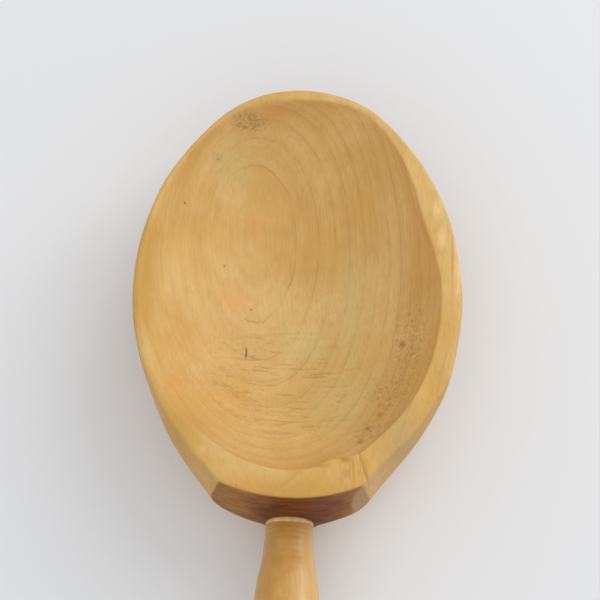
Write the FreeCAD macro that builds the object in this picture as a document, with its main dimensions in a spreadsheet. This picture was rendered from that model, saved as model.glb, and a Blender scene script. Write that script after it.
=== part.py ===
"""Feed scoop: an oval wooden bowl and a turned handle whose round tenon is glued and wedged into the bowl.

Row frame, in millimetres: the flat sole lies on Z = 0 under the widest part of the bowl, +Y runs along the
scoop towards the bowl's tip, the handle leaves at -Y, and +Z points out of the bowl's mouth.
"""

import FreeCAD, Part
import math
import os

from FreeCAD import Vector
from Sketcher import Constraint

# How a sketch names its own axes and origin, and the points of an arc or a line.
X_AXIS, Y_AXIS = -1, -2
ORIGIN = (-1, 1)
START, END, CENTRE = 1, 2, 3

# Driving dimensions: alias, value in millimetres or degrees, meaning.
SIZES = [
    ("hollow_half_width", 72.5, "hollow across, at its own middle"),
    ("hollow_half_length", 95.5, "hollow along, at its own middle"),
    ("hollow_half_depth", 53.0, "hollow, from its middle down"),
    ("hollow_lift", 6.0, "middle of the hollow above the brim"),
    ("hollow_forward", 6.7, "middle of the hollow ahead of the widest part"),
    ("hollow_aside", 1.6, "the hollow sits this far to the left, so the right wall is the thicker"),
    ("rim_outer_round", 1.6, "worn outer edge of the rim"),
    ("rim_inner_round", 1.0, "worn inner edge of the rim"),
    ("sawn_end_reach", 110.0, "the sawn end along the handle's direction, from the middle of the sole"),
    ("sawn_end_radius", 95.0, "the sawn end bulges towards the handle"),
    ("waste_half", 150.0, "half the width of the waste behind the sawn end, and its depth"),
    ("socket_height", 26.0, "where the handle's axis meets its shoulder, above the sole"),
    ("socket_radius", 8.2, "bored socket"),
    ("socket_depth", 34.0, "socket, from the handle's shoulder"),
    ("handle_rise", 9.0, "degrees that the handle rises away from the bowl"),
    ("tenon_radius", 8.0, "round tenon"),
    ("tenon_length", 32.0, "tenon, from the shoulder"),
    ("tenon_chamfer", 1.0, "lead-in at the tenon's end"),
    ("shoulder_radius", 10.3, "flat of the shoulder, inside its rounded edge"),
    ("shoulder_round", 1.2, "rounded edge of the shoulder"),
    ("neck_taper", 4.0, "degrees that the neck widens away from the shoulder"),
    ("flare_cove", 45.0, "radius of the hollow between neck and grip"),
    ("grip_radius", 16.2, "fullest part of the grip"),
    ("grip_station", 50.0, "fullest part of the grip, from the shoulder"),
    ("grip_crown", 150.0, "radius of the grip's swell"),
    ("butt_radius", 13.8, "where the grip's end begins to round"),
    ("butt_round", 10.0, "rounding of the grip's end"),
    ("handle_length", 120.0, "shoulder to the end of the grip"),
    ("wedge_length", 20.0, "wedge, along the tenon"),
    ("wedge_thick", 3.4, "wedge at the tenon's end"),
    ("wedge_thin", 0.8, "wedge at its leading edge"),
    ("wedge_width", 13.0, "wedge, across the tenon"),
    ("glue_line", 0.3, "glue between the shoulder and the sawn end"),
    ("glue_spread", 0.6, "how far the squeezed-out glue stands out round the shoulder"),
    ("glue_climb", 1.6, "how far the squeezed-out glue climbs along the neck"),
    ("glue_root", 2.0, "how far the glue bead is built into the bowl, before the bowl is cut from it"),
]

# The block's outside as a table of offsets: one level section of the hull a row, from the sole up to the brim.
# Flat angles are degrees from the scoop's length. The upper sections run on into the waste behind the sawn end.
LEVEL_COLUMNS = ("height", "half_width", "tip_reach", "tip_radius", "aft_radius", "flat_angle", "end_reach")
LEVELS = [
    ("sole", 0.0, 38.0, 60.0, 28.0, 98.0, 32.0, 68.0),
    ("bilge", 5.0, 51.0, 74.0, 38.0, 108.0, 35.0, 90.0),
    ("chine", 14.0, 64.0, 88.0, 48.0, 122.0, 40.0, 106.0),
    ("tuck", 22.0, 71.0, 94.5, 53.0, 124.0, 44.0, 110.0),
    ("flank", 32.0, 76.5, 100.0, 57.0, 137.0, 38.5, 114.0),
    ("waist", 46.0, 80.0, 105.0, 59.0, 125.0, 40.0, 114.0),
    ("brim", 62.0, 80.0, 107.0, 60.0, 116.0, 42.5, 114.0),
]

# How far behind the widest part the handle's shoulder sits: a glue line off the sawn end, at the socket's height.
SHOULDER_REACH = ("(Sizes.sawn_end_reach + Sizes.glue_line - Sizes.socket_height * sin(Sizes.handle_rise * 1 deg))"
                  " / cos(Sizes.handle_rise * 1 deg)")


def make_sheet(doc):
    """The spreadsheet that every size is bound to."""
    sheet = doc.addObject("Spreadsheet::Sheet", "Sizes")
    rows = list(SIZES)
    for name, *values in LEVELS:
        rows += [(f"{name}_{column}", value, f"{column} of the {name} section")
                 for column, value in zip(LEVEL_COLUMNS, values)]
    for number, (alias, value, meaning) in enumerate(rows, start=1):
        sheet.set(f"A{number}", alias)
        sheet.set(f"B{number}", str(value))
        sheet.set(f"C{number}", meaning)
        sheet.setAlias(f"B{number}", alias)
    doc.recompute()
    return sheet


def new_body(doc, name):
    body = doc.addObject("PartDesign::Body", name)
    body.Label = name
    return body


def new_sketch(body, name, role):
    """An empty sketch on one of the body's own origin planes, such as XY_Plane."""
    sketch = body.newObject("Sketcher::SketchObject", name)
    plane = next(f for f in body.Origin.OriginFeatures if f.Role == role)
    sketch.AttachmentSupport = [(plane, "")]
    sketch.MapMode = "FlatFace"
    return sketch


def bind(sketch, expression, *constraint):
    """Adds a dimension to the sketch and ties it to the sheet."""
    index = sketch.addConstraint(Constraint(*constraint))
    sketch.setExpression(f"Constraints[{index}]", expression)


def arc(centre, start, end):
    """A circular arc from start to end, counter-clockwise about centre."""
    first, last = start - centre, end - centre
    circle = Part.Circle(centre, Vector(0, 0, 1), first.Length)
    return Part.ArcOfCircle(circle, math.atan2(first.y, first.x), math.atan2(last.y, last.x))


def join_ends(sketch, curves):
    """Joins each curve's end to the next one's start, all the way round."""
    for curve, following in zip(curves, curves[1:] + curves[:1]):
        sketch.addConstraint(Constraint("Coincident", curve, END, following, START))


def outline_sketch(body, sheet, level):
    """One level section of the hull: a tip arc, two arcs and a flat down each side, and a straight end."""

    def size(column):
        return getattr(sheet, f"{level}_{column}")

    half, tip_radius, aft_radius, reach = (
        size("half_width"), size("tip_radius"), size("aft_radius"), size("end_reach"))
    angle = math.radians(size("flat_angle"))
    tip_centre = Vector(0, size("tip_reach") - tip_radius)
    # The fore side arc is tangent to the tip arc. Both side arcs cross the X axis square.
    lead = half - tip_radius
    fore_radius = tip_radius + (lead**2 + tip_centre.y**2) / (2 * lead)
    fore_centre, aft_centre = Vector(half - fore_radius), Vector(half - aft_radius)
    joint = tip_centre + (tip_centre - fore_centre).normalize() * tip_radius
    wide = Vector(half)
    flat_top = aft_centre + Vector(math.cos(angle), -math.sin(angle)) * aft_radius
    corner = Vector(flat_top.x - (flat_top.y + reach) * math.tan(angle), -reach)

    def left(point):
        return Vector(-point.x, point.y)

    sketch = new_sketch(body, f"{level}_outline", "XY_Plane")
    sketch.setExpression("AttachmentOffset.Base.z", f"Sizes.{level}_height")
    curves = sketch.addGeometry([
        arc(tip_centre, joint, left(joint)),
        arc(left(fore_centre), left(joint), left(wide)),
        arc(left(aft_centre), left(wide), left(flat_top)),
        Part.LineSegment(left(flat_top), left(corner)),
        Part.LineSegment(left(corner), corner),
        Part.LineSegment(corner, flat_top),
        arc(aft_centre, flat_top, wide),
        arc(fore_centre, wide, joint),
    ])
    tip, left_fore, left_aft, left_flat, end, right_flat, right_aft, right_fore = curves
    sketch.addConstraint([
        Constraint("Tangent", tip, END, left_fore, START),
        Constraint("Coincident", left_fore, END, left_aft, START),
        Constraint("Tangent", left_aft, END, left_flat, START),
        Constraint("Coincident", left_flat, END, end, START),
        Constraint("Coincident", end, END, right_flat, START),
        Constraint("Tangent", right_flat, END, right_aft, START),
        Constraint("Coincident", right_aft, END, right_fore, START),
        Constraint("Tangent", right_fore, END, tip, START),
        Constraint("Symmetric", left_fore, END, right_aft, END, Y_AXIS),
        Constraint("Symmetric", end, START, end, END, Y_AXIS),
        Constraint("PointOnObject", right_aft, END, X_AXIS),
        Constraint("PointOnObject", tip, CENTRE, Y_AXIS),
        *[Constraint("PointOnObject", side, CENTRE, X_AXIS)
          for side in (left_fore, left_aft, right_aft, right_fore)],
        Constraint("Equal", left_aft, right_aft),
    ])
    bind(sketch, f"Sizes.{level}_half_width", "DistanceX", *ORIGIN, right_aft, END, half)
    bind(sketch, f"Sizes.{level}_tip_radius", "Radius", tip, tip_radius)
    bind(sketch, f"Sizes.{level}_tip_reach - Sizes.{level}_tip_radius",
         "DistanceY", *ORIGIN, tip, CENTRE, tip_centre.y)
    bind(sketch, f"Sizes.{level}_aft_radius", "Radius", right_aft, aft_radius)
    bind(sketch, f"90 - Sizes.{level}_flat_angle", "Angle", right_flat, math.pi / 2 - angle)
    bind(sketch, f"Sizes.{level}_end_reach", "DistanceY", end, END, *ORIGIN, reach)
    return sketch


def carve_hull(body, sheet):
    """The block shaped outside, as a loft through its level sections."""
    sections = [outline_sketch(body, sheet, level[0]) for level in LEVELS]
    hull = body.newObject("PartDesign::AdditiveLoft", "hull")
    hull.Profile = sections[0]
    hull.Sections = sections[1:]
    hull.Ruled = False
    return hull


def saw_end(body, sheet):
    """Saws the handle's end off square to the handle, to a face that bulges a little across the bowl."""
    sketch = new_sketch(body, "sawn_end_outline", "XY_Plane")
    sketch.setExpression("AttachmentOffset.Rotation.Roll", "-Sizes.handle_rise")
    reach, radius, waste = sheet.sawn_end_reach, sheet.sawn_end_radius, sheet.waste_half
    centre = Vector(0, radius - reach)
    corners = [Vector(-radius, centre.y), Vector(radius, centre.y), Vector(waste, centre.y),
               Vector(waste, -waste), Vector(-waste, -waste), Vector(-waste, centre.y)]
    curves = sketch.addGeometry([
        arc(centre, corners[0], corners[1]),
        *[Part.LineSegment(a, b) for a, b in zip(corners[1:], corners[2:] + corners[:1])],
    ])
    face, right_top, right, bottom, left, left_top = curves
    join_ends(sketch, curves)
    sketch.addConstraint([
        Constraint("PointOnObject", face, CENTRE, Y_AXIS),
        Constraint("Horizontal", face, START, face, CENTRE),
        Constraint("Horizontal", right_top),
        Constraint("Vertical", right),
        Constraint("Horizontal", left_top),
        Constraint("Vertical", left),
        Constraint("Symmetric", bottom, END, bottom, START, Y_AXIS),
    ])
    bind(sketch, "Sizes.sawn_end_radius", "Radius", face, radius)
    bind(sketch, "Sizes.sawn_end_reach - Sizes.sawn_end_radius", "DistanceY", face, CENTRE, *ORIGIN, -centre.y)
    bind(sketch, "Sizes.waste_half", "DistanceX", *ORIGIN, bottom, START, waste)
    bind(sketch, "Sizes.waste_half", "DistanceY", bottom, START, *ORIGIN, waste)
    cut = body.newObject("PartDesign::Pocket", "sawn_end")
    cut.Profile = sketch
    cut.Type = "ThroughAll"
    cut.Midplane = True
    return cut


def dig_hollow(body):
    """The hollow that holds the feed, the lower part of an ellipsoid."""
    hollow = body.newObject("PartDesign::SubtractiveEllipsoid", "hollow")
    hollow.setExpression("Radius1", "Sizes.hollow_half_depth")
    hollow.setExpression("Radius2", "Sizes.hollow_half_width")
    hollow.setExpression("Radius3", "Sizes.hollow_half_length")
    hollow.setExpression("Placement.Base.x", "-Sizes.hollow_aside")
    hollow.setExpression("Placement.Base.y", "Sizes.hollow_forward")
    hollow.setExpression("Placement.Base.z", "Sizes.brim_height + Sizes.hollow_lift")
    return hollow


def bore_socket(body):
    """The blind socket for the tenon, along the handle's axis."""
    sketch = new_sketch(body, "socket_mouth", "XZ_Plane")
    sketch.setExpression("AttachmentOffset.Base.y", "Sizes.socket_height")
    sketch.setExpression("AttachmentOffset.Base.z", SHOULDER_REACH)
    sketch.setExpression("AttachmentOffset.Rotation.Roll", "-Sizes.handle_rise")
    circle = sketch.addGeometry(Part.Circle(Vector(), Vector(0, 0, 1), 8.0))
    sketch.addConstraint(Constraint("Coincident", circle, CENTRE, *ORIGIN))
    bind(sketch, "Sizes.socket_radius", "Radius", circle, 8.0)
    socket = body.newObject("PartDesign::Pocket", "socket")
    socket.Profile = sketch
    socket.setExpression("Length", "Sizes.socket_depth")
    return socket


def round_edges(doc, body, name, size, wanted):
    """Rounds the edges of the body so far that the wanted() test picks out."""
    sharp = body.Tip
    edges = [f"Edge{number}" for number, edge in enumerate(sharp.Shape.Edges, start=1) if wanted(edge)]
    rounding = body.newObject("PartDesign::Fillet", name)
    rounding.Base = (sharp, edges)
    rounding.setExpression("Radius", f"Sizes.{size}")
    doc.recompute()


def handle_frame(body):
    """Puts the body's own origin on the handle's shoulder, with its +Z along the handle and away from the bowl."""
    body.setExpression("Placement.Base.y", f"-({SHOULDER_REACH})")
    body.setExpression("Placement.Base.z", "Sizes.socket_height")
    body.setExpression("Placement.Rotation.Roll", "90 - Sizes.handle_rise")


def turn(body, sketch, name):
    """Turns the sketch round its own vertical axis."""
    turned = body.newObject("PartDesign::Revolution", name)
    turned.Profile = sketch
    turned.ReferenceAxis = (sketch, ["V_Axis"])
    turned.Angle = 360.0
    return turned


def common_tangent(centre, radius, other_centre, other_radius):
    """Where the outer tangent line of two circles touches each, on the side away from the turning axis."""
    across = other_centre - centre
    lean = math.atan2(across.y, across.x) - math.acos((radius - other_radius) / across.Length)
    normal = Vector(math.cos(lean), math.sin(lean))
    return centre + normal * radius, other_centre + normal * other_radius


def handle_profile(body, sheet):
    """Half of the turned handle's lengthwise section, tenon below the shoulder and grip above it."""
    sketch = new_sketch(body, "handle_profile", "XZ_Plane")
    tenon, chamfer, length = sheet.tenon_radius, sheet.tenon_chamfer, sheet.tenon_length
    shoulder, edge = sheet.shoulder_radius, sheet.shoulder_round
    taper = math.radians(sheet.neck_taper)
    crown_centre = Vector(sheet.grip_radius - sheet.grip_crown, sheet.grip_station)
    butt_centre = Vector(sheet.butt_radius - sheet.butt_round, sheet.handle_length - sheet.butt_round)

    edge_centre = Vector(shoulder, edge)
    outward = Vector(math.cos(taper), -math.sin(taper))
    along = Vector(math.sin(taper), math.cos(taper))
    neck_start = edge_centre + outward * edge
    # The cove rolls along the neck until it meets the crown.
    run = neck_start + outward * sheet.flare_cove - crown_centre
    slope = run.dot(along)
    travel = -slope - math.sqrt(slope**2 - run.dot(run) + (sheet.grip_crown + sheet.flare_cove) ** 2)
    neck_end = neck_start + along * travel
    cove_centre = neck_end + outward * sheet.flare_cove
    crown_start = crown_centre + (cove_centre - crown_centre).normalize() * sheet.grip_crown
    crown_end, butt_start = common_tangent(crown_centre, sheet.grip_crown, butt_centre, sheet.butt_round)
    butt_end = Vector(butt_centre.x, sheet.handle_length)

    corners = [Vector(0, -length), Vector(tenon - chamfer, -length), Vector(tenon, chamfer - length),
               Vector(tenon, 0), Vector(shoulder, 0)]
    tenon_lines = [Part.LineSegment(a, b) for a, b in zip(corners, corners[1:])]
    curves = sketch.addGeometry([
        *tenon_lines,
        arc(edge_centre, corners[-1], neck_start),
        Part.LineSegment(neck_start, neck_end),
        arc(cove_centre, crown_start, neck_end),
        arc(crown_centre, crown_start, crown_end),
        Part.LineSegment(crown_end, butt_start),
        arc(butt_centre, butt_start, butt_end),
        Part.LineSegment(butt_end, Vector(0, sheet.handle_length)),
        Part.LineSegment(Vector(0, sheet.handle_length), corners[0]),
    ])
    end, lead, side, flat, rounded, neck, cove, crown, back, butt, top, axis = curves
    sketch.addConstraint([
        Constraint("Coincident", end, END, lead, START),
        Constraint("Coincident", lead, END, side, START),
        Constraint("Coincident", side, END, flat, START),
        Constraint("Tangent", flat, END, rounded, START),
        Constraint("Tangent", rounded, END, neck, START),
        Constraint("Tangent", neck, END, cove, END),
        Constraint("Tangent", cove, START, crown, START),
        Constraint("Tangent", crown, END, back, START),
        Constraint("Tangent", back, END, butt, START),
        Constraint("Tangent", butt, END, top, START),
        Constraint("Coincident", top, END, axis, START),
        Constraint("Coincident", axis, END, end, START),
        Constraint("Horizontal", end),
        Constraint("Vertical", side),
        Constraint("Horizontal", flat),
        Constraint("Horizontal", top),
        Constraint("PointOnObject", side, END, X_AXIS),
        Constraint("PointOnObject", end, START, Y_AXIS),
        Constraint("PointOnObject", top, END, Y_AXIS),
    ])
    bind(sketch, "Sizes.tenon_radius", "DistanceX", *ORIGIN, side, END, tenon)
    bind(sketch, "Sizes.tenon_length", "DistanceY", end, START, *ORIGIN, length)
    bind(sketch, "Sizes.tenon_chamfer", "DistanceX", lead, START, lead, END, chamfer)
    bind(sketch, "Sizes.tenon_chamfer", "DistanceY", lead, START, lead, END, chamfer)
    bind(sketch, "Sizes.shoulder_radius", "DistanceX", *ORIGIN, flat, END, shoulder)
    bind(sketch, "Sizes.shoulder_round", "Radius", rounded, edge)
    bind(sketch, "90 - Sizes.neck_taper", "Angle", neck, math.pi / 2 - taper)
    bind(sketch, "Sizes.flare_cove", "Radius", cove, sheet.flare_cove)
    bind(sketch, "Sizes.grip_crown", "Radius", crown, sheet.grip_crown)
    bind(sketch, "Sizes.grip_crown - Sizes.grip_radius", "DistanceX", crown, CENTRE, *ORIGIN, -crown_centre.x)
    bind(sketch, "Sizes.grip_station", "DistanceY", *ORIGIN, crown, CENTRE, crown_centre.y)
    bind(sketch, "Sizes.butt_round", "Radius", butt, sheet.butt_round)
    bind(sketch, "Sizes.butt_radius - Sizes.butt_round", "DistanceX", *ORIGIN, butt, CENTRE, butt_centre.x)
    bind(sketch, "Sizes.handle_length", "DistanceY", *ORIGIN, butt, END, sheet.handle_length)
    return sketch


def wedge_outline(body, sheet, name):
    """The wedge from its side, thick end flush with the tenon's end."""
    sketch = new_sketch(body, name, "YZ_Plane")
    thick, thin = sheet.wedge_thick / 2, sheet.wedge_thin / 2
    low, high = -sheet.tenon_length, sheet.wedge_length - sheet.tenon_length
    corners = [Vector(-thick, low), Vector(thick, low), Vector(thin, high), Vector(-thin, high)]
    bottom, right, top, left = sketch.addGeometry(
        [Part.LineSegment(a, b) for a, b in zip(corners, corners[1:] + corners[:1])])
    sketch.addConstraint([
        Constraint("Coincident", bottom, END, right, START),
        Constraint("Coincident", right, END, top, START),
        Constraint("Coincident", top, END, left, START),
        Constraint("Coincident", left, END, bottom, START),
        Constraint("Symmetric", bottom, START, bottom, END, Y_AXIS),
        Constraint("Symmetric", top, START, top, END, Y_AXIS),
    ])
    bind(sketch, "Sizes.wedge_thick", "DistanceX", bottom, START, bottom, END, 2 * thick)
    bind(sketch, "Sizes.wedge_thin", "DistanceX", top, END, top, START, 2 * thin)
    bind(sketch, "Sizes.tenon_length", "DistanceY", bottom, END, *ORIGIN, -low)
    bind(sketch, "Sizes.wedge_length", "DistanceY", right, START, right, END, high - low)
    return sketch


def glue_profile(body, sheet):
    """Half section of all the glue's room: the socket, and a bead round the shoulder that reaches into the bowl."""
    sketch = new_sketch(body, "glue_profile", "XZ_Plane")
    socket, depth, root = sheet.socket_radius, sheet.socket_depth, sheet.glue_root
    reach = sheet.shoulder_radius + sheet.shoulder_round + sheet.glue_spread
    climb = sheet.glue_climb
    corners = [Vector(0, -depth), Vector(socket, -depth), Vector(socket, -root), Vector(reach, -root),
               Vector(reach, 0), Vector(reach - climb, climb), Vector(0, climb)]
    curves = sketch.addGeometry([
        *[Part.LineSegment(a, b) for a, b in zip(corners[:4], corners[1:5])],
        arc(Vector(reach - climb, 0), corners[4], corners[5]),
        Part.LineSegment(corners[5], corners[6]),
        Part.LineSegment(corners[6], corners[0]),
    ])
    bottom, bore, ledge, side, bead, top, axis = curves
    sketch.addConstraint([
        *[Constraint("Coincident", a, END, b, START) for a, b in zip(curves, curves[1:] + curves[:1])
          if a != side],
        Constraint("Tangent", side, END, bead, START),
        Constraint("Horizontal", bottom),
        Constraint("Vertical", bore),
        Constraint("Horizontal", ledge),
        Constraint("Vertical", side),
        Constraint("Horizontal", top),
        Constraint("PointOnObject", bead, START, X_AXIS),
        Constraint("Vertical", bead, END, bead, CENTRE),
        Constraint("PointOnObject", bottom, START, Y_AXIS),
        Constraint("PointOnObject", top, END, Y_AXIS),
    ])
    bind(sketch, "Sizes.socket_radius", "DistanceX", *ORIGIN, bore, END, socket)
    bind(sketch, "Sizes.socket_depth", "DistanceY", bottom, START, *ORIGIN, depth)
    bind(sketch, "Sizes.glue_root", "DistanceY", ledge, START, *ORIGIN, root)
    bind(sketch, "Sizes.shoulder_radius + Sizes.shoulder_round + Sizes.glue_spread",
         "DistanceX", *ORIGIN, bead, START, reach)
    bind(sketch, "Sizes.glue_climb", "Radius", bead, climb)
    return sketch


def make_bowl(doc, sheet):
    """The bowl, carved from one block."""
    bowl = new_body(doc, "bowl")
    carve_hull(bowl, sheet)
    saw_end(bowl, sheet)
    dig_hollow(bowl)
    bore_socket(bowl)
    doc.recompute()
    # On the brim, the hollow's edge is one closed loop and the outside's is in several runs.
    brim = sheet.brim_height - 0.01
    round_edges(doc, bowl, "rim_outer_rounding", "rim_outer_round",
                lambda edge: edge.BoundBox.ZMin > brim and not edge.isClosed())
    round_edges(doc, bowl, "rim_inner_rounding", "rim_inner_round",
                lambda edge: edge.BoundBox.ZMin > brim and edge.isClosed())
    return bowl


def make_handle(doc, sheet):
    """The turned handle with its tenon, split at the end for the wedge."""
    handle = new_body(doc, "handle")
    handle_frame(handle)
    turn(handle, handle_profile(handle, sheet), "turned_handle")
    kerf = handle.newObject("PartDesign::Pocket", "kerf")
    kerf.Profile = wedge_outline(handle, sheet, "kerf_outline")
    kerf.Type = "ThroughAll"
    kerf.Midplane = True
    return handle


def make_wedge(doc, sheet):
    """The wedge that spreads the tenon in its socket."""
    wedge = new_body(doc, "tenon_wedge")
    handle_frame(wedge)
    pad = wedge.newObject("PartDesign::Pad", "wedge_pad")
    pad.Profile = wedge_outline(wedge, sheet, "wedge_outline")
    pad.setExpression("Length", "Sizes.wedge_width")
    pad.Midplane = True
    return wedge


def make_glue(doc, sheet, *others):
    """The glue: whatever of its room the wooden pieces leave free."""
    room = new_body(doc, "glue_room")
    handle_frame(room)
    turn(room, glue_profile(room, sheet), "glue_turned")
    rest = room
    for other in others:
        cut = doc.addObject("Part::Cut", f"glue_less_{other.Name}")
        cut.Base = rest
        cut.Tool = other
        rest = cut
    rest.Label = "glue"
    return rest


def check_document(doc):
    """Stops the build if any feature failed or left a broken shape."""
    for feature in doc.Objects:
        bad = {"Invalid", "Error", "Touched"} & set(feature.State)
        if bad:
            raise RuntimeError(f"{feature.Name} is {sorted(bad)}")
        shape = getattr(feature, "Shape", None)
        if shape is not None and (shape.isNull() or not shape.isValid()):
            raise RuntimeError(f"{feature.Name} has a broken shape")


def main():
    doc = FreeCAD.newDocument("feed_scoop")
    sheet = make_sheet(doc)
    bowl = make_bowl(doc, sheet)
    handle = make_handle(doc, sheet)
    wedge = make_wedge(doc, sheet)
    glue = make_glue(doc, sheet, bowl, handle, wedge)
    doc.recompute()
    check_document(doc)
    os.makedirs("parts", exist_ok=True)
    for piece in (bowl, handle, wedge, glue):
        solids = piece.Shape.Solids
        if len(solids) != 1:
            raise RuntimeError(f"{piece.Label} has {len(solids)} solids, not one")
        piece.Shape.exportStep(f"parts/{piece.Label}.step")
        print(piece.Label, round(piece.Shape.Volume), "cubic mm,", len(piece.Shape.Faces), "faces")


main()
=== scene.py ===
import math

import bmesh
import bpy
import numpy as np
from mathutils import Matrix, Vector


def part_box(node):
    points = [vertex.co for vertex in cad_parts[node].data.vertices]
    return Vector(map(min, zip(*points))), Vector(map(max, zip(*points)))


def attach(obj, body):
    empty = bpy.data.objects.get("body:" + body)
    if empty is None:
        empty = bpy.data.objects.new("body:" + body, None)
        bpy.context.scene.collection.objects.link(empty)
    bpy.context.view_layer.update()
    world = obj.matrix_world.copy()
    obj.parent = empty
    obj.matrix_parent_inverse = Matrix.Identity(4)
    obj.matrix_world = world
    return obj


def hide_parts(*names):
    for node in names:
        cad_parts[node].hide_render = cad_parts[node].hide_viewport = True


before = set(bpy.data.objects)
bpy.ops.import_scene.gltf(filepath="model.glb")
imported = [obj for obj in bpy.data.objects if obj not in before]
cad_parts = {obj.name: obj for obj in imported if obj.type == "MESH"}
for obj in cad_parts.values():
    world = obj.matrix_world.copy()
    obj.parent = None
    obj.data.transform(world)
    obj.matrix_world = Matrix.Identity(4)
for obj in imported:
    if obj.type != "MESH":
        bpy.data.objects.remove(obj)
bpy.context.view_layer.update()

BOWL_LOW, BOWL_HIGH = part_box("bowl")
BRIM = 62.0                                 # the bowl's height in design millimetres
MM = (BOWL_HIGH.z - BOWL_LOW.z) / BRIM      # one design millimetre, in metres

# The bowl's outside, level by level: height, half width, tip reach, tip radius, side radius towards
# the handle, angle of the flat that follows it, and reach of the handle end.
LEVELS = np.array([
    (0.0, 38.0, 60.0, 28.0, 98.0, 32.0, 68.0),
    (5.0, 51.0, 74.0, 38.0, 108.0, 35.0, 90.0),
    (14.0, 64.0, 88.0, 48.0, 122.0, 40.0, 106.0),
    (22.0, 71.0, 94.5, 53.0, 124.0, 44.0, 110.0),
    (32.0, 76.5, 100.0, 57.0, 137.0, 38.5, 114.0),
    (46.0, 80.0, 105.0, 59.0, 125.0, 40.0, 114.0),
    (62.0, 80.0, 107.0, 60.0, 116.0, 42.5, 114.0),
])
HEIGHT, HALF_WIDTH, END_REACH = 0, 1, 6     # columns of LEVELS

# The sawn end is part of a cylinder, tipped back as far as the handle rises.
HANDLE_RISE = math.radians(9.0)
SAW_REACH, SAW_RADIUS = 110.0, 95.0

# The hollow is an ellipsoid whose centre lies a little above the brim.
HOLLOW_CENTRE = np.array([-1.6, 6.7, 68.0])
HOLLOW_SIZE = np.array([72.5, 95.5, 53.0])

RIM_OUTER_ROUND = 1.6
SOCKET_HEIGHT, SOCKET_RADIUS, SOCKET_DEPTH = 26.0, 8.2, 34.0
SHOULDER_FLAT, SHOULDER_EDGE = 10.3, 1.2    # the handle's shoulder: its flat face, and its edge's rounding
GLUE_LINE = 0.3                             # glue between the shoulder and the sawn end
HANDLE_AXIS = (0.0, -math.cos(HANDLE_RISE), math.sin(HANDLE_RISE))
SLIVER = 0.002                              # edges shorter than this are merged away after a cut

# The corner beside the sawn end: how far it is worn, how much more low down, below which height, and the
# fade between the two.
CORNER_WEAR, LOW_WEAR, LOW_CORNER, LOW_FADE = 1.3, 7.5, 31, 9

# Points round the bowl: down one side, across the sawn end, and back up the other side.
SIDE, END = 208, 96
ROUND = 2 * SIDE + END
PATCH = ROUND // 8                          # where the first corner of a four-sided cap falls

# Rings of the bowl's skin: up its side, over the rim's outer edge, across the brim, over its inner edge,
# and down the hollow.
WALL, OUTER_EDGE, ACROSS, INNER_EDGE, DOWN = 56, 5, 10, 8, 48

# Where the carver's outline strays from the even shape, and where the mouth strays from a true ellipse:
# direction from the middle in degrees, how far, and over how many degrees.
OUTSIDE_STRAYS = (
    (88, 0.3, 14), (112, 0.9, 16), (139, 0.8, 12), (72, 0.6, 9),
    (52, 0.6, 14), (-28, 1.1, 11), (-62, -1.5, 11), (-142, -0.9, 16),
)
MOUTH_STRAYS = ((71, 3.4, 13), (28, -5.2, 22), (-38, 1.2, 20), (-68, 1.2, 4.5), (-77.5, -1.8, 4.5))
MOUTH_DEPTH = 13.0                          # how far down the hollow the mouth's strays are felt


# ---------------------------------------------------------------- curves and numbers

def smooth_step(x):
    """0 below 0 and 1 above 1, with an even turn between them."""
    x = np.clip(x, 0.0, 1.0)
    return x * x * (3 - 2 * x)


def bump(x, centre, width):
    """1 at the centre, fading to 0 on both sides."""
    return np.exp(-(((x - centre) / width) ** 2))


def strays(table, angle):
    """How far an outline strays from its even shape, in a direction in degrees."""
    return sum(amount * bump(angle, where, width) for where, amount, width in table)


def smooth_through(x, knots, values):
    """A smooth curve through (knots, values), read at x, that never swings past a turning value."""
    slopes = np.gradient(values, knots)
    steps = np.diff(values)
    slopes[1:-1][steps[:-1] * steps[1:] <= 0] = 0
    i = np.clip(np.searchsorted(knots, x, side="right") - 1, 0, len(knots) - 2)
    step = knots[i + 1] - knots[i]
    t = (x - knots[i]) / step
    return ((2 * t**3 - 3 * t**2 + 1) * values[i] + (t**3 - 2 * t**2 + t) * step * slopes[i]
            + (3 * t**2 - 2 * t**3) * values[i + 1] + (t**3 - t**2) * step * slopes[i + 1])


def spread(length, count, close_start, close_end, closing=3.0, over=6.0):
    """count + 1 distances along a run: evenly spaced, but closer together near the ends asked for."""
    s = np.linspace(0, length, 600)
    density = np.ones_like(s)
    if close_start:
        density += closing * np.exp(-s / over)
    if close_end:
        density += closing * np.exp((s - length) / over)
    total = np.concatenate([[0], np.cumsum((density[1:] + density[:-1]) / 2)])
    return np.interp(np.linspace(0, total[-1], count + 1), total, s)


def arc(centre, radius, start, end, count=90):
    """Points along an arc, by angle from the X axis in radians."""
    angle = np.linspace(start, end, count)
    return np.stack([centre[0] + radius * np.cos(angle), centre[1] + radius * np.sin(angle)], -1)


def run_length(points):
    return np.linalg.norm(np.diff(points, axis=0), axis=1).sum()


def along(points, distances=None, count=None):
    """Points on a polyline at the given distances, or count + 1 points evenly spaced."""
    run = np.concatenate([[0], np.cumsum(np.linalg.norm(np.diff(points, axis=0), axis=1))])
    if distances is None:
        distances = np.linspace(0, run[-1], count + 1)
    return np.stack([np.interp(distances, run, column) for column in points.T], -1)


def ripple(points, wavelength, height, seed):
    """A smooth, even unevenness: the sum of waves in many directions, about height high."""
    rng = np.random.default_rng(seed)
    total = np.zeros(len(points))
    waves = 14
    for _ in range(waves):
        direction = rng.normal(size=3)
        direction *= 2 * math.pi / wavelength / np.linalg.norm(direction) * rng.uniform(0.6, 1.5)
        total += np.sin(points @ direction + rng.uniform(0, 2 * math.pi))
    return total * height * math.sqrt(2 / waves)


# ---------------------------------------------------------------- meshes

def loop_quads(low, high):
    """Quads between two closed rings of point numbers."""
    return np.stack([low, np.roll(low, -1), np.roll(high, -1), high], -1)


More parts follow.
